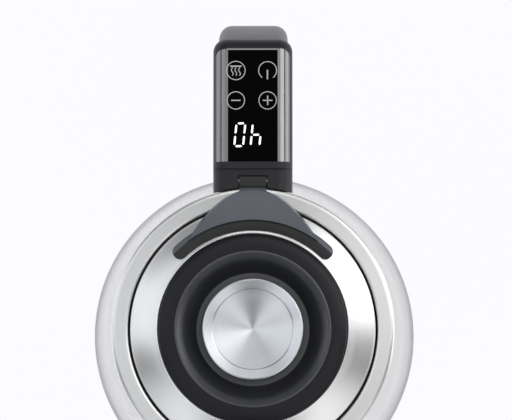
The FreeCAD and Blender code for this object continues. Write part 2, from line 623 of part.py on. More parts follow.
# ---------------------------------------------------------------- glass, collar and spout
def build_jug_wall():
    foot_top = "(%s + glass_foot)" % glass_low
    low_pole = "(%s + glass_height * 0.35)" % glass_low
    high_pole = "(%s + glass_height * 0.72)" % glass_low
    flare = "(mouth_radius + glass_lean)"
    bore = "(glass_radius - glass_wall)"
    node(revolved("glass_body", [
        (bore, glass_low), ("glass_radius - 0.9", glass_low), [("glass_radius", glass_low)],
        ("glass_radius", foot_top), [("glass_radius", low_pole), (flare, high_pole)],
        ("mouth_radius", glass_top), ("mouth_radius - glass_wall", glass_top),
        [(flare + " - glass_wall", high_pole), (bore, low_pole)], (bore, foot_top)]))
    collar_in = "(collar_radius - collar_sheet)"
    node(revolved("upper_seal", [
        ("mouth_radius - glass_wall", glass_top), (collar_in, glass_top), (collar_in, flange_low),
        ("mouth_radius - glass_wall", flange_low)]))

    sheet_low = "(%s - collar_sheet)" % collar_top
    lip_in = "(seam_radius + collar_sheet)"
    lip_low = "(%s - lip_depth)" % collar_top
    ring = revolved("collar_ring", [
        (collar_in, collar_low), ("collar_radius", collar_low),
        ("collar_radius", collar_top + " - collar_shoulder"),
        [("collar_radius", collar_top)], ("collar_radius - collar_shoulder", collar_top),
        ("seam_radius + 1.2", collar_top), [("seam_radius", collar_top)],
        ("seam_radius", collar_top + " - 1.2"),
        ("seam_radius", lip_low), (lip_in, lip_low), (lip_in, sheet_low + " - 0.7"), [(lip_in, sheet_low)],
        (lip_in + " + 0.7", sheet_low), (collar_in + " - collar_shoulder + collar_sheet", sheet_low),
        [(collar_in, sheet_low)], (collar_in, sheet_low + " - collar_shoulder + collar_sheet")])

    def spout_outline(half, reach, nose, root, inset):
        """A V with a rounded nose, drawn inset from the spout's outside."""
        side = "(%s - %s)" % (half, inset)
        tip = "(0 - %s + %s)" % (reach, inset)
        return [("0 - " + side, "0 - " + root), ("0 - %s" % nose, tip + " + %s * 0.5" % nose), [("0", tip)],
                (nose, tip + " + %s * 0.5 " % nose), (side, "0 - " + root), (side, "0 - seam_radius + 5"),
                ("0 - " + side, "0 - seam_radius + 5")]

    spout_low = "(%s + 2)" % collar_low
    outer = lofted(
        "spout_outer",
        spout_outline("spout_foot", "(collar_radius + spout_start)", "(spout_nose / 2)", "(collar_radius - 2)",
                      "0"),
        spout_low,
        spout_outline("spout_half", "spout_reach", "spout_nose", "(collar_radius - 5)", "0"), collar_top)
    part_way = "((%s - %s) / (%s - %s))" % (flange_top, spout_low, collar_top, spout_low)
    floor_half = "(spout_foot + (spout_half - spout_foot) * %s)" % part_way
    floor_reach = "(collar_radius + spout_start + (spout_out - spout_start) * %s)" % part_way
    inner = lofted(
        "spout_inner",
        spout_outline(floor_half, floor_reach, "(spout_nose / 2)", "(collar_radius - 3)", "collar_sheet"),
        flange_top,
        spout_outline("spout_half", "spout_reach", "spout_nose", "(collar_radius - 5)", "collar_sheet"),
        collar_top + " + 0.01")
    core = cylinder("collar_core", collar_in, "collar_height + 2", "0", "0", collar_low + " - 1")
    spout = cut("spout_shell", outer, core)
    neck_screws = screws("neck_screws", [
        ("%d * neck_screw_offset" % side, collar_in + " - 1 - head_height", collar_low + " + neck_screw_rise")
        for side in (-1, 1)], "10", ALONG_Y)
    node(neck_screws)
    node(cut("collar", fused("collar_blank", ring, spout), inner, neck_screws))

    thick_in = "(mouth_radius - glass_wall - 0.2)"
    liner_low = "(%s - 5)" % glass_top
    liner_top = "(%s - lip_depth - 2)" % collar_top
    shelf = "(%s - lid_depth - 0.5)" % collar_top
    liner = revolved("liner_blank", [
        ("liner_inner", liner_low), ("liner_inner + liner_wall", liner_low),
        ("liner_inner + liner_wall", flange_low),
        (collar_in, flange_low), (collar_in, flange_top), (thick_in, flange_top), (thick_in, liner_top),
        ("seam_radius", liner_top), ("seam_radius", shelf), ("liner_inner", shelf)])
    node(cut("collar_liner", liner, inner))
    return neck_screws


# ---------------------------------------------------------------- spout filter
def build_filter():
    """A clip-in frame with a perforated sheet, standing in the spout's channel."""
    near = "(0 - liner_inner + 1)"
    far = "(0 - liner_inner - 1)"
    half = "(spout_foot + 1.6)"
    low = "(%s + 0.1)" % flange_top
    high = "(%s - lid_depth - 1.2)" % collar_top
    frame = box("filter_frame_blank", ("0 - " + half, half), (far, near), (low, high))
    window = box("filter_window", ("0 - %s + 1.2" % half, half + " - 1.2"), (far + " - 1", near + " + 1"),
                 (low + " + 1.2", high + " - 1.2"))
    node(cut("spout_filter_frame", frame, window))
    slots = []
    count = 9
    for step in range(count):
        middle = "((%s - 2.2) * %g)" % (half, 2 * step / (count - 1) - 1)
        slots.append(box("filter_slot_%d" % step, (middle + " - 0.5", middle + " + 0.5"),
                         ("0 - liner_inner - 1", "0 - liner_inner + 1"), (low + " + 2", high + " - 2")))
    sheet_blank = box("filter_sheet_blank", ("0 - %s + 1.2" % half, half + " - 1.2"),
                      ("0 - liner_inner - 0.25", "0 - liner_inner + 0.25"), (low + " + 1.2", high + " - 1.2"))
    node(cut("spout_filter_mesh", sheet_blank, *slots))


# ---------------------------------------------------------------- handle
def housing_section(inset, top, low):
    """Cross-section of the handle's top, inset from its outside."""
    half = "(handle_width / 2 - %s)" % inset
    crown = "(%s - %s)" % (top, inset)
    flat = "(handle_width / 2 - handle_corner)"
    shoulder = "(%s - handle_corner)" % top
    lift = "(%s + (handle_corner - %s) * 0.55)" % (shoulder, inset)
    reach = "(%s + (handle_corner - %s) * 0.55)" % (flat, inset)
    return [("0 - " + half, low), (half, low), (half, shoulder), [(half, lift), (reach, crown)],
            (flat, crown), ("0 - " + flat, crown), [("0 - " + reach, crown), ("0 - " + half, lift)],
            ("0 - " + half, shoulder)]


def rounded_plate(label, start, end, half, low, height, corner):
    plate = padded(label, "XY_Plane", [
        ("0 - " + half, start), (half, start), (half, end), ("0 - " + half, end)], height, low)
    far = value(end)
    return rounded(plate, corner, lambda edge: upright(edge) and abs(edge.BoundBox.YMax - far) < 0.01)


def upright(edge):
    box_of = edge.BoundBox
    return box_of.XLength < 0.01 and box_of.YLength < 0.01


def build_handle(neck_screws):
    end = value("housing_end")
    housing = padded("housing_blank", "XZ_Plane", housing_section("0", handle_top, handle_low),
                     "housing_end - neck_end", "0 - housing_end")
    rounded(housing, "end_round", lambda edge: edge.BoundBox.YMin > end - 0.01
            and edge.BoundBox.ZMax > value(handle_low) + 0.01)
    panel_half = "(handle_width / 2 - panel_margin)"
    layer_core = padded("panel_core", "XZ_Plane", housing_section("panel_thick", handle_top, handle_low),
                        "housing_end - neck_end", "0 - housing_end")
    plan = rounded_plate("panel_plan", "panel_start", "panel_end", panel_half, handle_low, "handle_depth + 1",
                         "panel_corner")
    panel_low = "(%s - handle_corner)" % handle_top
    below = box("panel_below", ("0 - handle_width", "handle_width"), ("neck_end", "housing_end"),
                (handle_low + " - 1", panel_low))
    panel = cut("touch_panel", common("panel_blank", plan, housing), layer_core, below)
    node(panel)
    upper_half = "(board_half + fit_gap)"
    board_low = "(%s - board_depth)" % handle_top
    upper_cavity = box("upper_cavity", ("0 - " + upper_half, upper_half),
                       ("panel_start + 2", "panel_end - 2"), (board_low, handle_top + " - panel_thick"))
    lower_half = "(board_half - board_ledge)"
    lower_cavity = box("lower_cavity", ("0 - " + lower_half, lower_half),
                       ("panel_start + 4", "panel_end - 2"),
                       (handle_low + " + housing_floor", board_low + " + 1"))
    head_seat = "(%s + housing_floor + head_height)" % handle_low
    handle_screws = screws("handle_screws", [
        ("%d * 9" % side, "housing_end - 14", head_seat) for side in (-1, 1)], "11", DOWNWARD)
    node(handle_screws)
    cable_top = cylinder("cable_top_hole", "harness_radius + fit_gap", "6", "0", harness_top,
                         handle_low + " - 2")
    node(cut("handle_housing", housing, panel, upper_cavity, lower_cavity, handle_screws, cable_top))

    board_top = "(%s + board_thick)" % board_low
    crown = "(%s - panel_thick)" % handle_top
    node(box("display_board", ("0 - board_half", "board_half"), ("panel_start + 2.5", "panel_end - 2.5"),
             (board_low, board_top)))
    node(box("display_module", ("0 - module_half", "module_half"),
             ("panel_start + 4.5", "panel_start + 4.5 + module_length"), (board_top, crown)))
    pads = [cylinder("touch_pad_%d_%s" % (side, row), "pad_radius", crown + " - " + board_top,
                     "%d * pad_offset" % side, "panel_start + " + row, board_top)
            for side in (-1, 1) for row in ("near_pads", "far_pads")]
    node(group("touch_pads", pads))
    node(cylinder("buzzer", "buzzer_radius", "buzzer_height", "0", "panel_start + 16",
                  board_low + " - buzzer_height"))

    neck_blank = padded("neck_section", "XZ_Plane", housing_section("0", neck_top, handle_low),
                        "neck_end - collar_radius + 8", "0 - neck_end")
    collar_core = cylinder("neck_core", "collar_radius", "collar_height + 4", "0", "0", collar_low + " - 1")
    slot_half = "(knuckle_half + bridge_clear)"
    slot = box("hinge_slot", ("0 - " + slot_half, slot_half), ("collar_radius - 6", hinge_back),
               (hinge_height + " - barrel_radius - seat_gap", neck_top + " + 1"))
    cradle = cylinder("hinge_cradle", "barrel_radius + seat_gap", slot_half + " * 2", "0 - " + slot_half,
                      hinge_back, hinge_height, ALONG_X)
    pin = cylinder("hinge_pin", "hinge_pin", "hinge_pin_half * 2", "0 - hinge_pin_half", hinge_back,
                   hinge_height, ALONG_X)
    node(pin)
    node(cut("handle_neck", neck_blank, collar_core, slot, cradle, pin, neck_screws))
    return handle_screws


def grip_loop(outer_inset, inner_inset):
    """Side outline of the grip in (y, z) between an outer and an inner boundary."""
    drop = "(%s - %s)" % (handle_low, rim)
    foot_y = "(cover_radius + band_thick - 3)"
    outer_foot = "(%s - band_height - 1 + %s)" % (rim, outer_inset)
    inner_foot = "(%s + 8 - %s)" % (rim, inner_inset)

    def outer(out, down):
        return ("housing_end + %g - %s" % (out, outer_inset), "%s + %s * %g" % (rim, drop, down))

    def inner(out, down):
        return ("housing_end + %g + %s" % (out, inner_inset), "%s + %s * %g" % (rim, drop, down))

    return [outer(0, 1), [outer(14, 0.82), outer(19, 0.55), outer(9, 0.22), outer(-8, -0.02),
                          ("housing_end - 34", outer_foot)],
            (foot_y, outer_foot), (foot_y, inner_foot),
            [("housing_end - 42", inner_foot), inner(-20, 0.22), inner(-13, 0.5), inner(-13, 0.82),
             inner(-19, 0.93)], inner(-27, 1)]


def build_grip(grip_screw, handle_screws):
    whole = padded("grip_blank", "YZ_Plane", grip_loop("0", "0"), "grip_width", both_ways=True)
    inner_part = padded("grip_outer_side", "YZ_Plane", grip_loop("(0 - 6)", "grip_wall"), "grip_width + 2",
                        both_ways=True)
    side = value("grip_width / 2") - 0.01
    back = value("housing_end + 4")
    rounded(whole, "grip_round", lambda edge: edge.BoundBox.YMax > back
            and (edge.BoundBox.XMin > side or edge.BoundBox.XMax < -side))
    core = cylinder("grip_core", "cover_radius + band_thick", "100", "0", "0", jug_floor)
    glass_core = cylinder("grip_glass_core", "glass_radius + fit_gap", "100", "0", "0", rim)
    route = harness_route()
    node(swept("wiring_harness", route, value("harness_radius")))
    way = swept("harness_way", route, value("harness_radius + fit_gap"))
    channel = padded("grip_channel", "YZ_Plane", grip_loop("6", "grip_wall + 4"), "channel_half * 2",
                     both_ways=True)
    node(cut("grip_outer_shell", common("grip_outer_blank", whole, inner_part), core, glass_core, channel, way,
             grip_screw, handle_screws))
    node(cut("grip_inner_shell", whole, inner_part, core, glass_core))


def harness_route():
    """The cable's way from the connector through the grip to the display board, as lines and arcs."""
    low = value(rim)
    route = [(value("cover_radius - 20"), value(harness_height)),
             (value("cover_radius + 12"), value(harness_height)),
             (value("housing_end - 14"), low + 22), (value("housing_end - 2"), low + 62),
             (value("housing_end - 1"), low + 108), (value(harness_top), value(handle_low) - 14),
             (value(harness_top), value(handle_top) - 7)]
    points = [FreeCAD.Vector(0, y, z) for y, z in route]
    edges = []
    here = points[0]
    for before, corner, after in zip(points, points[1:], points[2:]):
        back = (before - corner).normalize()
        ahead = (after - corner).normalize()
        turn = math.pi - back.getAngle(ahead)
        reach = 0.45 * min((before - corner).Length, (after - corner).Length)
        radius = reach / math.tan(turn / 2)
        start = corner + back * reach
        stop = corner + ahead * reach
        middle = corner + (back + ahead).normalize() * (radius / math.cos(turn / 2) - radius)
        edges.append(Part.LineSegment(here, start).toShape())
        edges.append(Part.Arc(start, middle, stop).toShape())
        print("harness bend radius %.0f mm" % radius)
        here = stop
    edges.append(Part.LineSegment(here, points[-1]).toShape())
    return Part.Wire(edges), points[0]


def swept(label, route, radius):
    """A round tube along a route of lines and tangent arcs."""
    path, start = route
    section = Part.Wire(Part.makeCircle(radius, start, FreeCAD.Vector(0, 1, 0)))
    tube = doc.addObject("Part::Feature", label)
    tube.Label = label
    tube.Shape = path.makePipeShell([section], True, True)
    return tube


# ---------------------------------------------------------------- lid
def dome_curve():
    """The lid's domed steel, from its edge in to the ring: corner, control points, corner."""
    edge = ("lid_radius - 0.8", collar_top + " + 0.2")
    inner = ("ring_radius + 1.2", collar_top + " + lid_dome")
    return edge, [("lid_radius - 4", collar_top + " + lid_dome * 0.42"),
                  ("ring_radius + 5", collar_top + " + lid_dome * 0.84")], inner


def build_lid():
    edge, dome, inner = dome_curve()
    skirt_low = "(%s - lid_skirt)" % collar_top
    skirt_in = "(lid_radius - lid_sheet)"
    bead_low = "(%s + lid_dome - 1.4)" % collar_top
    node(revolved("lid_plate", [
        ("lid_radius", skirt_low), ("lid_radius", collar_top + " - 0.6"),
        [("lid_radius", collar_top + " + 0.2")],
        edge, dome, inner, [("ring_radius + 0.1", collar_top + " + lid_dome + 0.5")],
        ("ring_radius + 0.1", collar_top + " + lid_dome - 0.6"), ("ring_radius + 0.1", bead_low),
        ("ring_radius + 0.8", bead_low), ("ring_radius + 1.4", collar_top + " + lid_dome - lid_sheet"),
        [("ring_radius + 5", collar_top + " + lid_dome * 0.84 - lid_sheet"),
         ("lid_radius - 4", collar_top + " + lid_dome * 0.42 - lid_sheet")],
        ("lid_radius - 1.4", collar_top + " - lid_sheet + 0.2"), (skirt_in, collar_top + " - lid_sheet - 0.4"),
        (skirt_in, skirt_low)]))

    crest = "(%s + crest_rise)" % collar_top
    seat = "(%s - 2)" % collar_top
    ring_in = "(crest_radius + 0.1)"
    node(revolved("lid_ring", [
        ("ring_radius", seat), ("ring_radius", collar_top + " + lid_dome + 0.2"),
        [("ring_radius", collar_top + " + lid_dome + 1.4"), ("ring_radius - 3", crest + " - 0.1")],
        (ring_in, crest + " - 0.3"), (ring_in, seat)]))
    floor_top = "(%s - bowl_floor)" % collar_top
    floor_low = "(%s - bowl_wall)" % floor_top
    knob_screw = screws("knob_screw", [("0", "0", floor_low)], "bowl_wall + 4")
    node(knob_screw)
    bowl = revolved("bowl_blank", [
        ("crest_radius", seat), ("crest_radius", crest + " - 0.5"), [("crest_radius", crest)],
        ("crest_radius - 1", crest + " - 0.1"),
        [("crest_radius - 4.5", crest + " - 1.6"), ("bowl_radius + 3", floor_top + " + 1.5")],
        ("bowl_radius", floor_top), ("0", floor_top), ("0", floor_low), ("bowl_radius + 1", floor_low),
        [("bowl_radius + 4.5", floor_low + " + 1.5")], ("crest_radius - 4.2", seat)])
    node(cut("lid_bowl", bowl, knob_screw))

    knob_high = "(%s - knob_top)" % collar_top
    cap_low = "(%s - 1.9)" % knob_high
    base = revolved("knob_blank", [
        ("0", floor_top), ("knob_radius - 1.5", floor_top), ("knob_radius - 0.5", cap_low), ("0", cap_low)])
    node(cut("knob_base", base, knob_screw))
    node(revolved("knob_cap", [
        ("0", cap_low), ("knob_radius", cap_low), ("knob_radius", knob_high + " - 0.7"),
        [("knob_radius", knob_high)], ("knob_radius - 0.8", knob_high),
        ("knob_dish + 0.9", knob_high + " - 0.15"),
        [("knob_dish + 0.2", knob_high + " - 0.15")], ("knob_dish", knob_high + " - 0.8"),
        ("0", knob_high + " - 1.1")]))

    core_low = "(%s - lid_skirt)" % collar_top
    liner_low = "(%s - lid_depth)" % collar_top
    liner_floor = "(%s + liner_thick)" % liner_low
    lid_screws = screws("lid_screws", around("(lid_radius - 8)", 4, liner_low, 45), "lid_depth - 3.5")
    node(lid_screws)
    core = revolved("lid_core_blank", [
        ("crest_radius - 4.2", core_low), (skirt_in, core_low), (skirt_in, collar_top + " - lid_sheet - 0.8"),
        ("ring_radius + 1.5", collar_top + " + lid_dome - lid_sheet - 1.2"), ("ring_radius", bead_low),
        ("ring_radius", seat), ("crest_radius - 4.2", seat)])
    bosses = [cylinder("lid_boss_%d" % number, "head_radius + 1", core_low + " - " + liner_floor, *spot)
              for number, spot in enumerate(around("(lid_radius - 8)", 4, liner_floor, 45))]
    node(cut("lid_core", fused("lid_core_bossed", core, *bosses), lid_screws))
    liner = revolved("lid_liner_blank", [
        ("0", liner_low), ("lid_liner_radius", liner_low), ("lid_liner_radius", core_low),
        ("lid_liner_radius - liner_thick", core_low), ("lid_liner_radius - liner_thick", liner_floor),
        ("0", liner_floor)])
    node(cut("lid_liner", liner, lid_screws))
    seal_low = "(%s + 0.4)" % liner_low
    node(revolved("lid_seal", [
        ("lid_liner_radius", seal_low), ("lid_seal_radius", seal_low + " + lid_seal_height * 0.3"),
        ("lid_seal_radius", seal_low + " + lid_seal_height * 0.7"),
        ("lid_liner_radius", seal_low + " + lid_seal_height")]))


def build_hinge_bridge():
    """The black bridge that carries the lid on its hinge, seated on the lid's dome."""
    edge, dome, inner = dome_curve()
    ground = revolved("bridge_ground", [
        ("0", collar_low), ("collar_radius + bridge_clear", collar_low),
        ("collar_radius + bridge_clear", collar_top + " - collar_shoulder"),
        [("collar_radius + bridge_clear", collar_top + " + bridge_clear")],
        ("collar_radius - collar_shoulder", collar_top + " + bridge_clear"),
        ("lid_radius", collar_top + " + bridge_clear"), edge, dome, inner, ("0", collar_top + " + lid_dome")])
    bridge_top = "(%s + bridge_rise)" % collar_top
    low = "(%s - 1)" % collar_top

    tip_y = "(sqrt(bridge_step * bridge_step - bridge_tip * bridge_tip))"

    def fin_outline(inset):
        """The arch of the bridge seen from above, from one tip over its rear to the other."""
        half = "(bridge_tip - %s)" % inset
        rear = "(bridge_rear - %s)" % inset
        hip = "%s + (%s - %s) * 0.45" % (tip_y, rear, tip_y)
        return [("0 - " + half, tip_y), ("0 - " + half, tip_y + " - 6"), (half, tip_y + " - 6"), (half, tip_y),
                [(half + " - 6.8", hip), (half + " * 0.45", rear)], ("0", rear),
                [("0 - %s * 0.45" % half, rear), ("0 - %s + 6.8" % half, hip)]]

    fin = lofted("fin_plan", fin_outline("0"), low, fin_outline("bridge_bevel"), bridge_top + " + 1")
    profile = padded("fin_side", "YZ_Plane", [
        (tip_y + " - 8", low), ("bridge_rear + 2", low),
        ("bridge_rear + 2", bridge_top + " - bridge_slope * 1.4"),
        ("bridge_rear - 4", bridge_top + " - bridge_slope"),
        [("bridge_step + 3", bridge_top + " + 0.1")], ("bridge_step - 2", bridge_top),
        (tip_y + " - 8", bridge_top + " - 0.6")], "bridge_tip * 2 + 2", both_ways=True)
    front = cylinder("fin_front", "bridge_step", "bridge_rise + 6", "0", "0", low + " - 1")
    top = cut("fin", common("fin_blank", fin, profile), front)

    middle = "((bridge_front + bridge_back) / 2)"
    lobe = "((bridge_back - bridge_front) / 2)"
    sector = cylinder("pad_sector", "bridge_back", "bridge_rise + 2", "0", "0", low)
    sector.setExpression("Angle", bind("bridge_angle * 1 deg"))
    sector.Placement.Rotation = FreeCAD.Rotation(FreeCAD.Vector(0, 0, 1), 90 - value("bridge_angle") / 2)
    hollow = cylinder("pad_hollow", "bridge_front", "bridge_rise + 4", "0", "0", low + " - 1")
    lobes = [cylinder("pad_lobe_%d" % number, lobe, "bridge_rise + 2",
                      "%s * %d * sin(bridge_angle / 2)" % (middle, side),
                      "%s * cos(bridge_angle / 2)" % middle, low)
             for number, side in enumerate((-1, 1))]
    plan = fused("pad_plan", cut("pad_arc", sector, hollow), *lobes)
    pad_edge = "(%s + lid_dome)" % collar_top
    ridge = revolved("pad_ridge", [
        ("bridge_front - 1", low), ("bridge_back + 1", low), ("bridge_back + 1", pad_edge + " - 1.4"),
        [("bridge_back - 0.2", pad_edge + " + 1.4"), ("bridge_step - 1.5", pad_edge + " + 1.3")],
        ("bridge_front - 1", pad_edge + " + 0.2")])
    pad = common("pad", plan, ridge)

    arm = padded("knuckle_arm", "YZ_Plane", [
        ("collar_radius - 6", hinge_height), (hinge_back, hinge_height), (hinge_back, neck_top),
        (hinge_back + " - 2.4", neck_top), ("bridge_rear + 1", neck_top + " + 1"),
        ("bridge_rear - 3", bridge_top + " - bridge_slope - 1")], "knuckle_half * 2", both_ways=True)
    drum = cylinder("hinge_drum", "barrel_radius", "knuckle_half * 2", "0 - knuckle_half", hinge_back,
                    hinge_height, ALONG_X)
    upper_back = box("drum_sector", ("0 - knuckle_half", "knuckle_half"),
                     (hinge_back + " - 0.5", hinge_back + " + barrel_radius"), (hinge_height, neck_top))
    barrel = common("hinge_barrel", drum, upper_back)
    knuckle = cylinder("knuckle", "knuckle_radius", "knuckle_half * 2", "0 - knuckle_half", hinge_back,
                       hinge_height, ALONG_X)
    trimmed = cut("bridge_trimmed", fused("bridge_blank", top, pad, arm, barrel), ground)
    bore = cylinder("knuckle_bore", "hinge_pin + hinge_fit", "knuckle_half * 2 + 2", "0 - knuckle_half - 1",
                    hinge_back, hinge_height, ALONG_X)
    node(cut("hinge_bridge", fused("bridge_hinged", trimmed, knuckle), bore))


# ---------------------------------------------------------------- hand-over
def finish():
    doc.recompute()
    failed = ["%s (%s)" % (thing.Label, thing.getStatusString()) for thing in doc.Objects
              if "Invalid" in thing.State or "Error" in thing.State]
    if failed:
        raise RuntimeError("failed objects: " + ", ".join(failed))
    os.makedirs("parts", exist_ok=True)
    for piece in NODES:
        if piece.Shape.isNull() or not piece.Shape.isValid():
            raise RuntimeError("bad shape: " + piece.Label)
    for piece in NODES:
        piece.Shape.exportStep("parts/%s.step" % piece.Label)
        print("%-24s %2d solids %10.0f mm3" % (piece.Label, len(piece.Shape.Solids), piece.Shape.Volume))


plug_screws = build_base()
build_connector(plug_screws)
grip_screw = build_jug_bottom()
neck_screws = build_jug_wall()
build_filter()
handle_screws = build_handle(neck_screws)
build_grip(grip_screw, handle_screws)
build_lid()
build_hinge_bridge()
finish()
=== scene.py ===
import json
import math

import bmesh
import bpy
from mathutils import Matrix, Vector


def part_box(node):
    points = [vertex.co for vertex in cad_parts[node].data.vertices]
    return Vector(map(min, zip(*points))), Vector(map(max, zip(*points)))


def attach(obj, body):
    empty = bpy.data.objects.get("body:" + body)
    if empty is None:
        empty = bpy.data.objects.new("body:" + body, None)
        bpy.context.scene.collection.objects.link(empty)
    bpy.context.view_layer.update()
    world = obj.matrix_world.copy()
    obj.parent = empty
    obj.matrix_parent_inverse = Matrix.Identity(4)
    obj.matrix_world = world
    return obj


# A glass kettle with a touch-control handle, seen from above. Metres; +Z up, handle towards +Y.

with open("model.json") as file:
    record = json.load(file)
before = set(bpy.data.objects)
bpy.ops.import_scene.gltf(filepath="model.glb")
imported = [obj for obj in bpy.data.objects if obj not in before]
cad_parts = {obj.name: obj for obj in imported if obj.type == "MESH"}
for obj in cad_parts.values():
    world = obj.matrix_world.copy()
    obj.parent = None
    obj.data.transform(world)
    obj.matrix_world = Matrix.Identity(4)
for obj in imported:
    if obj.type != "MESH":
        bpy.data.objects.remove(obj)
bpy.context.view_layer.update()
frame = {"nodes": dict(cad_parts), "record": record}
MM = 0.001

# ---------------------------------------------------------------- places read from the frame
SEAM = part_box("collar")[1].z
PANEL_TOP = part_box("touch_panel")[1].z
SEAL_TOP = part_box("lower_seal")[1].z


# ---------------------------------------------------------------- camera
EYE = Vector((0.0054, -0.027, SEAM + 1.100))
AIM = Vector((0.0014, 0.0525, SEAM))
SENSOR_WIDTH = 36
FOCAL_LENGTH = 175.8
VIEW_DEPTH = 20


def add_camera():
    """Straight above the lid, a little towards the spout, aimed at the middle of lid and handle."""
    camera = bpy.data.objects.new("camera", bpy.data.cameras.new("camera"))
    bpy.context.scene.collection.objects.link(camera)
    forward = (AIM - EYE).normalized()
    right = forward.cross(Vector((0, 1, 0))).normalized()
    up = right.cross(forward)
    turn = Matrix((right, up, -forward)).transposed().to_4x4()
    camera.matrix_world = Matrix.Translation(EYE) @ turn
    camera.data.sensor_width = SENSOR_WIDTH
    camera.data.lens = FOCAL_LENGTH
    camera.data.clip_end = VIEW_DEPTH
    bpy.context.scene.camera = camera


# ---------------------------------------------------------------- studio
WORLD_STRENGTH = 0.8
WORLD_BELOW = (0.75, 0.75, 0.77)
WORLD_ABOVE = (0.01, 0.01, 0.012)
WORLD_STEPS = ((0.35, 0.45), (0.75, 0.2), (0.93, 0.02))
WORLD_BLUE = 1.03


def add_world():
    """A dark ceiling over a pale room: upward-facing gloss stays black, the sides pick up light."""
    world = bpy.data.worlds.new("studio")
    bpy.context.scene.world = world
    world.use_nodes = True
    tree = world.node_tree
    back = tree.nodes["Background"]
    coord = tree.nodes.new("ShaderNodeTexCoord")
    split = tree.nodes.new("ShaderNodeSeparateXYZ")
    ramp = tree.nodes.new("ShaderNodeValToRGB")
    stops = ramp.color_ramp.elements
    stops[0].color = (*WORLD_BELOW, 1)
    stops[1].color = (*WORLD_ABOVE, 1)
    for height, grey in WORLD_STEPS:
        stops.new(height).color = (grey, grey, grey * WORLD_BLUE, 1)
    tree.links.new(coord.outputs["Generated"], split.inputs[0])
    tree.links.new(split.outputs["Z"], ramp.inputs["Fac"])
    tree.links.new(ramp.outputs["Color"], back.inputs["Color"])
    back.inputs["Strength"].default_value = WORLD_STRENGTH


CEILING = 1.35
WHITE, COOL = (1, 1, 1), (0.94, 0.97, 1)

# Rectangles over the kettle: name, one corner (x, y), the other corner, radiance, tint.
CEILING_LIGHTS = (
    ("over_right", (0.085, -0.45), (0.50, 0.80), 1.05, WHITE),
    ("over_left", (-0.50, -0.45), (-0.10, 0.55), 0.9, COOL),
    ("key_right", (0.52, 0.17), (1.75, 1.20), 2.1, WHITE),
    ("fade_right", (0.52, 0.0), (1.75, 0.17), 0.9, WHITE),
    ("key_left", (-1.75, -0.12), (-0.52, 0.70), 1.0, COOL),
    ("front_right", (0.36, -1.5), (1.30, -0.46), 1.1, WHITE),
    ("front_left", (-1.30, -1.5), (-0.36, -0.46), 0.95, COOL),
    ("rear", (-0.30, 0.50), (0.34, 1.4), 1.3, WHITE),
)

# Upright rectangles beside it: name, azimuth in degrees, width, radiance, tint.
SIDE_LIGHTS = (
    ("side_right", 8, 1.6, 1.4, WHITE),
    ("side_left", 172, 1.4, 0.8, COOL),
)
SIDE_DISTANCE = 1.9
SIDE_LOW, SIDE_HIGH = -0.1, 1.0


def add_light(name, width, depth, radiance, tint):
    """A rectangle of light of one radiance, whatever its size, that the camera doesn't see."""
    light = bpy.data.lights.new(name, "AREA")
    light.shape = "RECTANGLE"
    light.size, light.size_y = width, depth
    light.energy = 4 * width * depth * radiance
    light.color = tint
    lamp = bpy.data.objects.new(name, light)
    bpy.context.scene.collection.objects.link(lamp)
    lamp.visible_camera = False
    return lamp


def add_studio():
    """Lights either side of a dark gap over the handle, brighter ones farther out, upright ones beside."""
    add_world()
    for name, low, high, radiance, tint in CEILING_LIGHTS:
        lamp = add_light(name, high[0] - low[0], high[1] - low[1], radiance, tint)
        lamp.location = ((low[0] + high[0]) / 2, (low[1] + high[1]) / 2, SEAM + CEILING)
    for name, azimuth, width, radiance, tint in SIDE_LIGHTS:
        lamp = add_light(name, width, SIDE_HIGH - SIDE_LOW, radiance, tint)
        turn = math.radians(azimuth)
        away = Vector((math.cos(turn), math.sin(turn), 0))
        lamp.location = away * SIDE_DISTANCE + Vector((0, 0, SEAM + (SIDE_LOW + SIDE_HIGH) / 2))
        lamp.rotation_euler = (math.radians(90), 0, turn + math.radians(90))
    backdrop = add_floor("backdrop", floor_white("floor_white"))
    backdrop.visible_diffuse = backdrop.visible_glossy = backdrop.visible_transmission = False
    table = add_floor("table", floor_bounce("floor_bounce"))
    table.visible_camera = False


FLOOR_REACH = 6.0


def add_floor(name, material):
    """A wide floor at the height the kettle stands on."""
    mesh = bpy.data.meshes.new(name)
    corners = [(x * FLOOR_REACH, y * FLOOR_REACH, 0) for x, y in ((-1, -1), (1, -1), (1, 1), (-1, 1))]
    mesh.from_pydata(corners, [], [(0, 1, 2, 3)])
    mesh.materials.append(material)
    floor = bpy.data.objects.new(name, mesh)
    bpy.context.scene.collection.objects.link(floor)
    return floor


# ---------------------------------------------------------------- materials
def new_material(name):
    """A node material, with its nodes, links and shader."""
    material = bpy.data.materials.new(name)
    material.use_nodes = True
    nodes, links = material.node_tree.nodes, material.node_tree.links
    return material, nodes, links, nodes["Principled BSDF"]


def position(nodes):
    return nodes.new("ShaderNodeTexCoord").outputs["Object"]


def noise(nodes, links, where, scale, detail=4, roughness=0.55):
    """A cloudy value from 0 to 1."""
    texture = nodes.new("ShaderNodeTexNoise")
    texture.inputs["Scale"].default_value = scale
    texture.inputs["Detail"].default_value = detail
    texture.inputs["Roughness"].default_value = roughness
    links.new(where, texture.inputs["Vector"])
    return texture.outputs["Fac"]


def spread(nodes, links, value, low, high):
    """Map 0..1 to low..high."""
    mapping = nodes.new("ShaderNodeMapRange")
    mapping.inputs["To Min"].default_value = low
    mapping.inputs["To Max"].default_value = high
    links.new(value, mapping.inputs["Value"])
    return mapping.outputs["Result"]


def blend_colours(nodes, links, factor, first, second):
    mix = nodes.new("ShaderNodeMix")
    mix.data_type = "RGBA"
    mix.inputs["A"].default_value = (*first, 1)
    mix.inputs["B"].default_value = (*second, 1)
    links.new(factor, mix.inputs["Factor"])
    return mix.outputs["Result"]


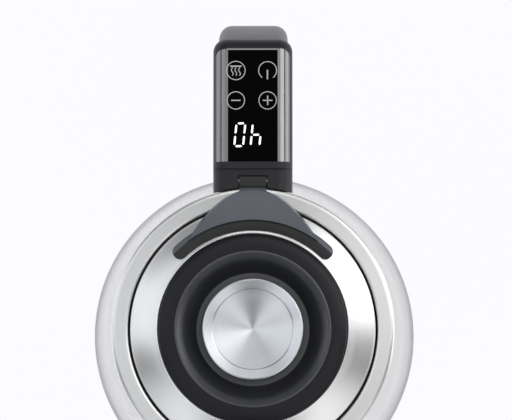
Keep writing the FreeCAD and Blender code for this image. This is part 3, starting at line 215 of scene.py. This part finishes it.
def raise_bump(nodes, links, shader, height, strength, distance):
    bump = nodes.new("ShaderNodeBump")
    bump.inputs["Strength"].default_value = strength
    bump.inputs["Distance"].default_value = distance
    links.new(height, bump.inputs["Height"])
    links.new(bump.outputs["Normal"], shader.inputs["Normal"])


def glowing_floor(name, paint, glow):
    """A matt floor that gives off light; the caller links its Emission Color."""
    material, nodes, links, shader = new_material(name)
    mottle = noise(nodes, links, position(nodes), 3, 2)
    links.new(blend_colours(nodes, links, mottle, (paint * 0.97,) * 3, (paint,) * 3),
              shader.inputs["Base Color"])
    shader.inputs["Roughness"].default_value = 0.8
    shader.inputs["Specular IOR Level"].default_value = 0.0
    shader.inputs["Emission Strength"].default_value = glow
    return material, nodes, links, shader, mottle


FLOOR_COLOUR = (0.98, 0.98, 1)


def floor_white(name):
    """What the camera sees under the kettle: white all over."""
    material, nodes, links, shader, mottle = glowing_floor(name, 0.0, 1.0)
    links.new(blend_colours(nodes, links, mottle, (0.965, 0.965, 0.985), FLOOR_COLOUR),
              shader.inputs["Emission Color"])
    return material


SHADE_START, SHADE_END = 0.079, 0.116


def floor_bounce(name):
    """What the kettle sees under itself: painted shade close round its foot, white farther out."""
    material, nodes, links, shader, _ = glowing_floor(name, 0.35, 0.93)
    # The table's light is dimmed close round the foot: a painted contact shadow, which the glass reflects
    # as its dark edge.
    painted_shade_fade = from_axis(nodes, links, SHADE_START, SHADE_END)
    links.new(blend_colours(nodes, links, painted_shade_fade, (0.2156, 0.2156, 0.22), FLOOR_COLOUR),
              shader.inputs["Emission Color"])
    return material


def plastic(name, colour, roughness, gloss=0.5, grain=2500, depth=0.00002):
    """Moulded plastic: fine grain, slight unevenness of gloss and colour."""
    material, nodes, links, shader = new_material(name)
    where = position(nodes)
    cloud = noise(nodes, links, where, 60, 3)
    lighter = tuple(channel * 1.25 + 0.002 for channel in colour)
    links.new(blend_colours(nodes, links, cloud, colour, lighter), shader.inputs["Base Color"])
    links.new(spread(nodes, links, cloud, roughness * 0.88, roughness * 1.12), shader.inputs["Roughness"])
    shader.inputs["Specular IOR Level"].default_value = gloss
    raise_bump(nodes, links, shader, noise(nodes, links, where, grain, 2), 0.5, depth)
    return material


def lacquer(name, colour, roughness):
    """Deep gloss over black, with the faint waviness of moulded acrylic."""
    material, nodes, links, shader = new_material(name)
    where = position(nodes)
    cloud = noise(nodes, links, where, 45, 2)
    lighter = tuple(channel * 1.6 for channel in colour)
    links.new(blend_colours(nodes, links, cloud, colour, lighter), shader.inputs["Base Color"])
    links.new(spread(nodes, links, cloud, roughness * 0.8, roughness * 1.2), shader.inputs["Roughness"])
    shader.inputs["IOR"].default_value = 2.5
    raise_bump(nodes, links, shader, cloud, 0.05, 0.00005)
    return material


def axis_distance(nodes, links, where):
    """How far a place is from the Z axis, and how high it is."""
    split = nodes.new("ShaderNodeSeparateXYZ")
    links.new(where, split.inputs[0])
    flat = nodes.new("ShaderNodeCombineXYZ")
    links.new(split.outputs["X"], flat.inputs["X"])
    links.new(split.outputs["Y"], flat.inputs["Y"])
    length = nodes.new("ShaderNodeVectorMath")
    length.operation = "LENGTH"
    links.new(flat.outputs[0], length.inputs[0])
    return length.outputs["Value"], split.outputs["Z"]


def from_axis(nodes, links, start, end):
    """0 nearer the Z axis than start, 1 farther than end (metres)."""
    distance, _ = axis_distance(nodes, links, position(nodes))
    ramp = nodes.new("ShaderNodeMapRange")
    ramp.inputs["From Min"].default_value = start
    ramp.inputs["From Max"].default_value = end
    links.new(distance, ramp.inputs["Value"])
    return ramp.outputs["Result"]


LINE_DRIFT = 0.004


def turned_lines(nodes, links, density):
    """Fine noise that is nearly constant round the Z axis: the marks of brushing or turning."""
    where = position(nodes)
    distance, height = axis_distance(nodes, links, where)
    line = nodes.new("ShaderNodeCombineXYZ")
    links.new(distance, line.inputs["X"])
    links.new(height, line.inputs["Y"])
    drift = nodes.new("ShaderNodeVectorMath")
    drift.operation = "MULTIPLY_ADD"
    drift.inputs[1].default_value = (LINE_DRIFT, LINE_DRIFT, 0)
    links.new(where, drift.inputs[0])
    links.new(line.outputs[0], drift.inputs[2])
    return noise(nodes, links, drift.outputs["Vector"], density, 3, 0.7)


ACROSS_THE_MARKS = 0.25
LINE_STRENGTH = 0.35


def brushed(name, colour, roughness, anisotropy, density, depth=0.000004, dish=0.0):
    """Steel brushed or turned round the Z axis; dish is how steeply it rises away from the axis."""
    material, nodes, links, shader = new_material(name)
    shader.inputs["Metallic"].default_value = 1
    shader.inputs["Anisotropic"].default_value = anisotropy
    shader.inputs["Anisotropic Rotation"].default_value = ACROSS_THE_MARKS
    height = lines = turned_lines(nodes, links, density)
    darker = tuple(channel * 0.86 for channel in colour)
    links.new(blend_colours(nodes, links, lines, darker, colour), shader.inputs["Base Color"])
    links.new(spread(nodes, links, lines, roughness * 0.8, roughness * 1.25), shader.inputs["Roughness"])
    tangent = nodes.new("ShaderNodeTangent")
    tangent.direction_type = "RADIAL"
    tangent.axis = "Z"
    links.new(tangent.outputs["Tangent"], shader.inputs["Tangent"])
    if dish:
        rise = nodes.new("ShaderNodeMath")
        rise.operation = "MULTIPLY_ADD"
        links.new(from_axis(nodes, links, 0, 1), rise.inputs[0])
        rise.inputs[1].default_value = dish / (LINE_STRENGTH * depth)
        links.new(lines, rise.inputs[2])
        height = rise.outputs[0]
    raise_bump(nodes, links, shader, height, LINE_STRENGTH, depth)
    return material


def metal(name, colour, roughness):
    """Plain metal with a slight mottle."""
    material, nodes, links, shader = new_material(name)
    shader.inputs["Metallic"].default_value = 1
    where = position(nodes)
    cloud = noise(nodes, links, where, 300, 4)
    darker = tuple(channel * 0.85 for channel in colour)
    links.new(blend_colours(nodes, links, cloud, darker, colour), shader.inputs["Base Color"])
    links.new(spread(nodes, links, cloud, roughness * 0.8, roughness * 1.2), shader.inputs["Roughness"])
    raise_bump(nodes, links, shader, cloud, 0.2, 0.00001)
    return material


CLEAR_RADIUS, FOOT_RADIUS = 0.0755, 0.0797


def clear_glass(name, body, foot):
    """Clear glass, tinted darker towards its foot: painted shade for the dark edge of the glass."""
    material, nodes, links, shader = new_material(name)
    where = position(nodes)
    ripple = noise(nodes, links, where, 18, 1)
    painted_edge_fade = from_axis(nodes, links, CLEAR_RADIUS, FOOT_RADIUS)
    # The foot colour is painted shade, darkening the glass towards its outer edge.
    links.new(blend_colours(nodes, links, painted_edge_fade, body, foot), shader.inputs["Base Color"])
    shader.inputs["Transmission Weight"].default_value = 1
    shader.inputs["IOR"].default_value = 1.47
    shader.inputs["Specular Tint"].default_value = (0.55, 0.55, 0.61, 1)
    links.new(spread(nodes, links, ripple, 0.0, 0.015), shader.inputs["Roughness"])
    raise_bump(nodes, links, shader, ripple, 0.1, 0.0002)
    return material


ARCH_START, ARCH_FULL = 0.0476, 0.0481
ARCH_FADE, ARCH_END = 0.0615, 0.0625
ARCH_BLACK, ARCH_PAINTED_LIGHT = (0.005, 0.005, 0.006), (0.088, 0.094, 0.115)


def bridge_finish(name):
    """Satin black plastic: pad on the lid, arch, barrel in the neck; the arch's grey is painted light."""
    material, nodes, links, shader = new_material(name)
    where = position(nodes)
    cloud = noise(nodes, links, where, 60, 3)
    # The grey band over the arch is painted light, as if the arch's top caught the light from above.
    arch = nodes.new("ShaderNodeMath")
    arch.operation = "SUBTRACT"
    arch.use_clamp = True
    links.new(from_axis(nodes, links, ARCH_START, ARCH_FULL), arch.inputs[0])
    links.new(from_axis(nodes, links, ARCH_FADE, ARCH_END), arch.inputs[1])
    links.new(blend_colours(nodes, links, arch.outputs[0], ARCH_BLACK, ARCH_PAINTED_LIGHT),
              shader.inputs["Base Color"])
    links.new(spread(nodes, links, cloud, 0.32, 0.42), shader.inputs["Roughness"])
    raise_bump(nodes, links, shader, noise(nodes, links, where, 2500, 2), 0.5, 0.00002)
    return material


def silicone(name, colour, clearness):
    """Half-clear rubber."""
    material, nodes, links, shader = new_material(name)
    where = position(nodes)
    cloud = noise(nodes, links, where, 400, 3)
    lighter = tuple(min(1, channel * 1.1) for channel in colour)
    links.new(blend_colours(nodes, links, cloud, colour, lighter), shader.inputs["Base Color"])
    shader.inputs["Transmission Weight"].default_value = clearness
    shader.inputs["Subsurface Weight"].default_value = 0.1
    links.new(spread(nodes, links, cloud, 0.35, 0.5), shader.inputs["Roughness"])
    raise_bump(nodes, links, shader, cloud, 0.2, 0.00003)
    return material


def lit_legend(name, paint, glow):
    """Light showing through the panel, a little uneven."""
    material, nodes, links, shader = new_material(name)
    cloud = noise(nodes, links, position(nodes), 900, 2)
    dim, full = (paint * 0.8, paint * 0.82, paint * 0.8), (paint, paint, paint)
    links.new(blend_colours(nodes, links, cloud, dim, full), shader.inputs["Base Color"])
    links.new(blend_colours(nodes, links, cloud, (0.85, 0.86, 0.84), (1, 1, 1)),
              shader.inputs["Emission Color"])
    shader.inputs["Emission Strength"].default_value = glow
    links.new(spread(nodes, links, cloud, 0.35, 0.5), shader.inputs["Roughness"])
    return material


# Each finish by material slot, or by node where one node differs from its slot.
FINISHES = {
    "base_plastic": (plastic, (0.02, 0.02, 0.022), 0.42),
    "foot_rubber": (plastic, (0.015, 0.015, 0.015), 0.75, 0.5, 900, 0.00004),
    "connector_plastic": (plastic, (0.03, 0.03, 0.033), 0.45),
    "glide_plastic": (plastic, (0.45, 0.45, 0.45), 0.4),
    "contact_brass": (metal, (0.78, 0.57, 0.25), 0.25),
    "screw_steel": (metal, (0.62, 0.62, 0.63), 0.3),
    "element_metal": (metal, (0.5, 0.5, 0.5), 0.45),
    "spreader_aluminium": (metal, (0.78, 0.78, 0.79), 0.4),
    "plate_steel": (brushed, (0.82, 0.82, 0.83), 0.3, 0.5, 500),
    "seal_silicone": (silicone, (0.62, 0.63, 0.65), 0.35),
    # jug_glass's second colour is painted shade at the glass's outer edge.
    "jug_glass": (clear_glass, (0.99, 0.99, 1.0), (0.30, 0.31, 0.36)),
    "collar_steel": (brushed, (0.75, 0.75, 0.745), 0.3, 0.6, 900),
    "lid_steel": (brushed, (0.78, 0.78, 0.78), 0.29, 0.8, 1300),
    "knob_steel": (brushed, (0.72, 0.74, 0.77), 0.32, 0.85, 1500, 0.000002, 0.10),
    # knob_base is blacker than the other black plastics: its own black, darkened further as painted shade
    # round the disc.
    "knob_base": (plastic, (0.003, 0.003, 0.004), 0.5, 0.15),
    "liner_plastic": (plastic, (0.012, 0.012, 0.013), 0.5),
    "ring_plastic": (plastic, (0.0065, 0.0065, 0.009), 0.36, 0.25),
    "bowl_plastic": (plastic, (0.022, 0.023, 0.028), 0.36, 0.8),
    "bridge_plastic": (bridge_finish,),
    "handle_plastic": (plastic, (0.009, 0.009, 0.012), 0.42, 0.32),
    "grip_plastic": (plastic, (0.016, 0.016, 0.02), 0.4),
    "panel_gloss": (lacquer, (0.0008, 0.0006, 0.0006), 0.035),
    "board_green": (plastic, (0.01, 0.09, 0.03), 0.35),
    "harness_sleeve": (plastic, (0.02, 0.02, 0.02), 0.6, 0.5, 700, 0.0001),
}
MATERIALS = {name: make(name, *values) for name, (make, *values) in FINISHES.items()}


def dress_frame():
    """Give every CAD node its own finish if it has one, or else the finish of its slot."""
    slots = {part["node"]: part["material_slot"] for part in frame["record"]["subparts"]}
    for name, thing in frame["nodes"].items():
        for place in thing.material_slots:
            place.material = MATERIALS.get(name, MATERIALS[slots[name]])


# ---------------------------------------------------------------- pieces
def add_piece(name, mesh, material, body):
    """Turn a bmesh into an object that rides on a body."""
    bmesh.ops.recalc_face_normals(mesh, faces=mesh.faces)
    data = bpy.data.meshes.new(name)
    mesh.to_mesh(data)
    mesh.free()
    data.materials.append(material)
    thing = bpy.data.objects.new(name, data)
    bpy.context.scene.collection.objects.link(thing)
    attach(thing, body)


# ---------------------------------------------------------------- legends on the touch panel
LEGEND_RISE = 0.00005


def add_ribbons(name, strips, material):
    """Flat ribbons (points, width, closed) just proud of the panel, in millimetres."""
    mesh = bmesh.new()
    top = PANEL_TOP + LEGEND_RISE
    for points, width, closed in strips:
        count = len(points)
        rails = []
        for index, (x, y) in enumerate(points):
            before = points[(index - 1) % count] if closed or index else points[0]
            after = points[(index + 1) % count] if closed or index < count - 1 else points[-1]
            along = Vector((after[0] - before[0], after[1] - before[1], 0)).normalized()
            side = Vector((-along.y, along.x, 0)) * width / 2
            middle = Vector((x, y, 0))
            rails.append([mesh.verts.new((middle + side * sign) * MM + Vector((0, 0, top)))
                          for sign in (1, -1)])
        spans = zip(rails, rails[1:] + rails[:1]) if closed else zip(rails, rails[1:])
        for (a, b), (c, d) in spans:
            mesh.faces.new((a, b, d, c))
    add_piece(name, mesh, material, "jug")


RING_STEPS = 64


def ring_points(x, y, radius, start=0, end=360):
    """Points of a circle or an arc, angles in degrees."""
    steps = RING_STEPS if end - start == 360 else RING_STEPS + 1
    angles = [math.radians(start + (end - start) * step / RING_STEPS) for step in range(steps)]
    return [(x + radius * math.cos(angle), y + radius * math.sin(angle)) for angle in angles]


WAVE_STEPS = 18
WAVE_TURNS = 1.05
WAVE_SWING = 0.42


def wave(x, low, high):
    """A wavy upright line, as on a keep-warm sign."""
    return [(x + WAVE_SWING * math.sin(2 * math.pi * WAVE_TURNS * step / WAVE_STEPS),
             low + (high - low) * step / WAVE_STEPS) for step in range(WAVE_STEPS + 1)]


def across(x, y, half):
    return [(x - half, y), (x + half, y)]


def upright(x, low, high):
    return [(x, low), (x, high)]


# Where the four signs stand on the panel and how wide their lines are, in millimetres.
SIGN_LEFT, SIGN_RIGHT, SIGN_FAR, SIGN_NEAR = -7.5, 6.55, 114.2, 100.9
RING_LINE, BAR_LINE, SIGN_LINE = 0.38, 0.6, 0.5
SIGN_HALF = 2.1
SIGN_RING = 3.85


def add_legends():
    """Signs for keep warm, power, less and more, and the figures of the display."""
    grey, glow = lit_legend("legend_grey", 0.3, 0.2), lit_legend("display_white", 0.85, 0.8)
    left, right, far, near = SIGN_LEFT, SIGN_RIGHT, SIGN_FAR, SIGN_NEAR
    steam = [(wave(left + shift, far - 2.3, far + 1.3), RING_LINE, False) for shift in (-1.6, 0, 1.6)]
    add_ribbons("legend_warm", [
        (ring_points(left, far, 4.1), RING_LINE, True),
        (across(left, far + 1.9, 2.5), BAR_LINE, False), *steam], grey)
    add_ribbons("legend_power", [
        (ring_points(right, far, 3.95, -52, 232), RING_LINE, False),
        (upright(right - 0.1, far - 3.9, far + 0.3), BAR_LINE, False)], grey)
    add_ribbons("legend_minus", [
        (ring_points(left, near, SIGN_RING), RING_LINE, True),
        (across(left, near, SIGN_HALF), SIGN_LINE, False)], grey)
    add_ribbons("legend_plus", [
        (ring_points(right, near, SIGN_RING), RING_LINE, True),
        (across(right, near, SIGN_HALF), SIGN_LINE, False),
        (upright(right, near - SIGN_HALF, near + SIGN_HALF), SIGN_LINE, False)], grey)
    add_digits(glow)


# The display's figures in millimetres: bottom, top, width, sideways lean, bar width, gap at each bar's end.
FIGURE_LOW, FIGURE_HIGH, FIGURE_WIDTH = 80.6, 90.7, 3.9
FIGURE_SLANT, FIGURE_BAR, FIGURE_GAP = 0.10, 0.85, 0.5
ZERO_LEFT, HOURS_LEFT = -8.2, -1.0


def add_digits(material):
    """Two seven-segment figures, slightly slanted: a zero and the sign for hours."""
    low, high = FIGURE_LOW, FIGURE_HIGH
    middle = (low + high) / 2
    mesh = bmesh.new()

    def segment(start, end):
        """A bar with pointed ends, leaned over by the slant."""
        (x0, y0), (x1, y1) = start, end
        along = Vector((x1 - x0, y1 - y0)).normalized()
        side = Vector((-along.y, along.x)) * FIGURE_BAR / 2
        a, b = Vector(start) + along * FIGURE_GAP, Vector(end) - along * FIGURE_GAP
        point = along * FIGURE_BAR / 2
        outline = [a, a + point + side, b - point + side, b, b - point - side, a + point - side]
        leaned = [(spot.x + (spot.y - low) * FIGURE_SLANT, spot.y) for spot in outline]
        mesh.faces.new([mesh.verts.new((x * MM, y * MM, PANEL_TOP + LEGEND_RISE)) for x, y in leaned])

    def figure(left, lit):
        """The bars that are lit, of a figure whose left edge is given."""
        right = left + FIGURE_WIDTH
        places = {
            "top": ((left, high), (right, high)),
            "middle": ((left, middle), (right, middle)),
            "bottom": ((left, low), (right, low)),
            "upper_left": ((left, middle), (left, high)),
            "lower_left": ((left, low), (left, middle)),
            "upper_right": ((right, middle), (right, high)),
            "lower_right": ((right, low), (right, middle)),
        }
        for name in lit:
            segment(*places[name])

    figure(ZERO_LEFT, ("top", "bottom", "upper_left", "lower_left", "upper_right", "lower_right"))
    figure(HOURS_LEFT, ("middle", "upper_left", "lower_left", "lower_right"))
    add_piece("display_figures", mesh, material, "jug")


# ---------------------------------------------------------------- ribs of the seal under the glass
RIB_COUNT = 240
RIB_INNER, RIB_OUTER = 0.0761, 0.0769
RIB_HALF, RIB_RISE = 0.0003, 0.0006
BOX_FACES = ((3, 2, 1, 0), (4, 5, 6, 7), (0, 1, 5, 4), (1, 2, 6, 5), (2, 3, 7, 6), (3, 0, 4, 7))


def add_seal_ribs():
    """Small upright ribs round the inside of the glass's foot, as the seal shows through the glass."""
    foot = [(RIB_INNER, -RIB_HALF), (RIB_OUTER, -RIB_HALF), (RIB_OUTER, RIB_HALF), (RIB_INNER, RIB_HALF)]
    mesh = bmesh.new()
    for step in range(RIB_COUNT):
        turn = Matrix.Rotation(2 * math.pi * step / RIB_COUNT, 4, "Z")
        corners = [mesh.verts.new(turn @ Vector((x, y, SEAL_TOP + rise)))
                   for rise in (-RIB_RISE, RIB_RISE) for x, y in foot]
        for face in BOX_FACES:
            mesh.faces.new([corners[index] for index in face])
    add_piece("seal_ribs", mesh, MATERIALS["harness_sleeve"], "jug")


add_camera()
add_studio()
dress_frame()
add_legends()
add_seal_ribs()
bpy.context.scene.view_settings.view_transform = "Standard"
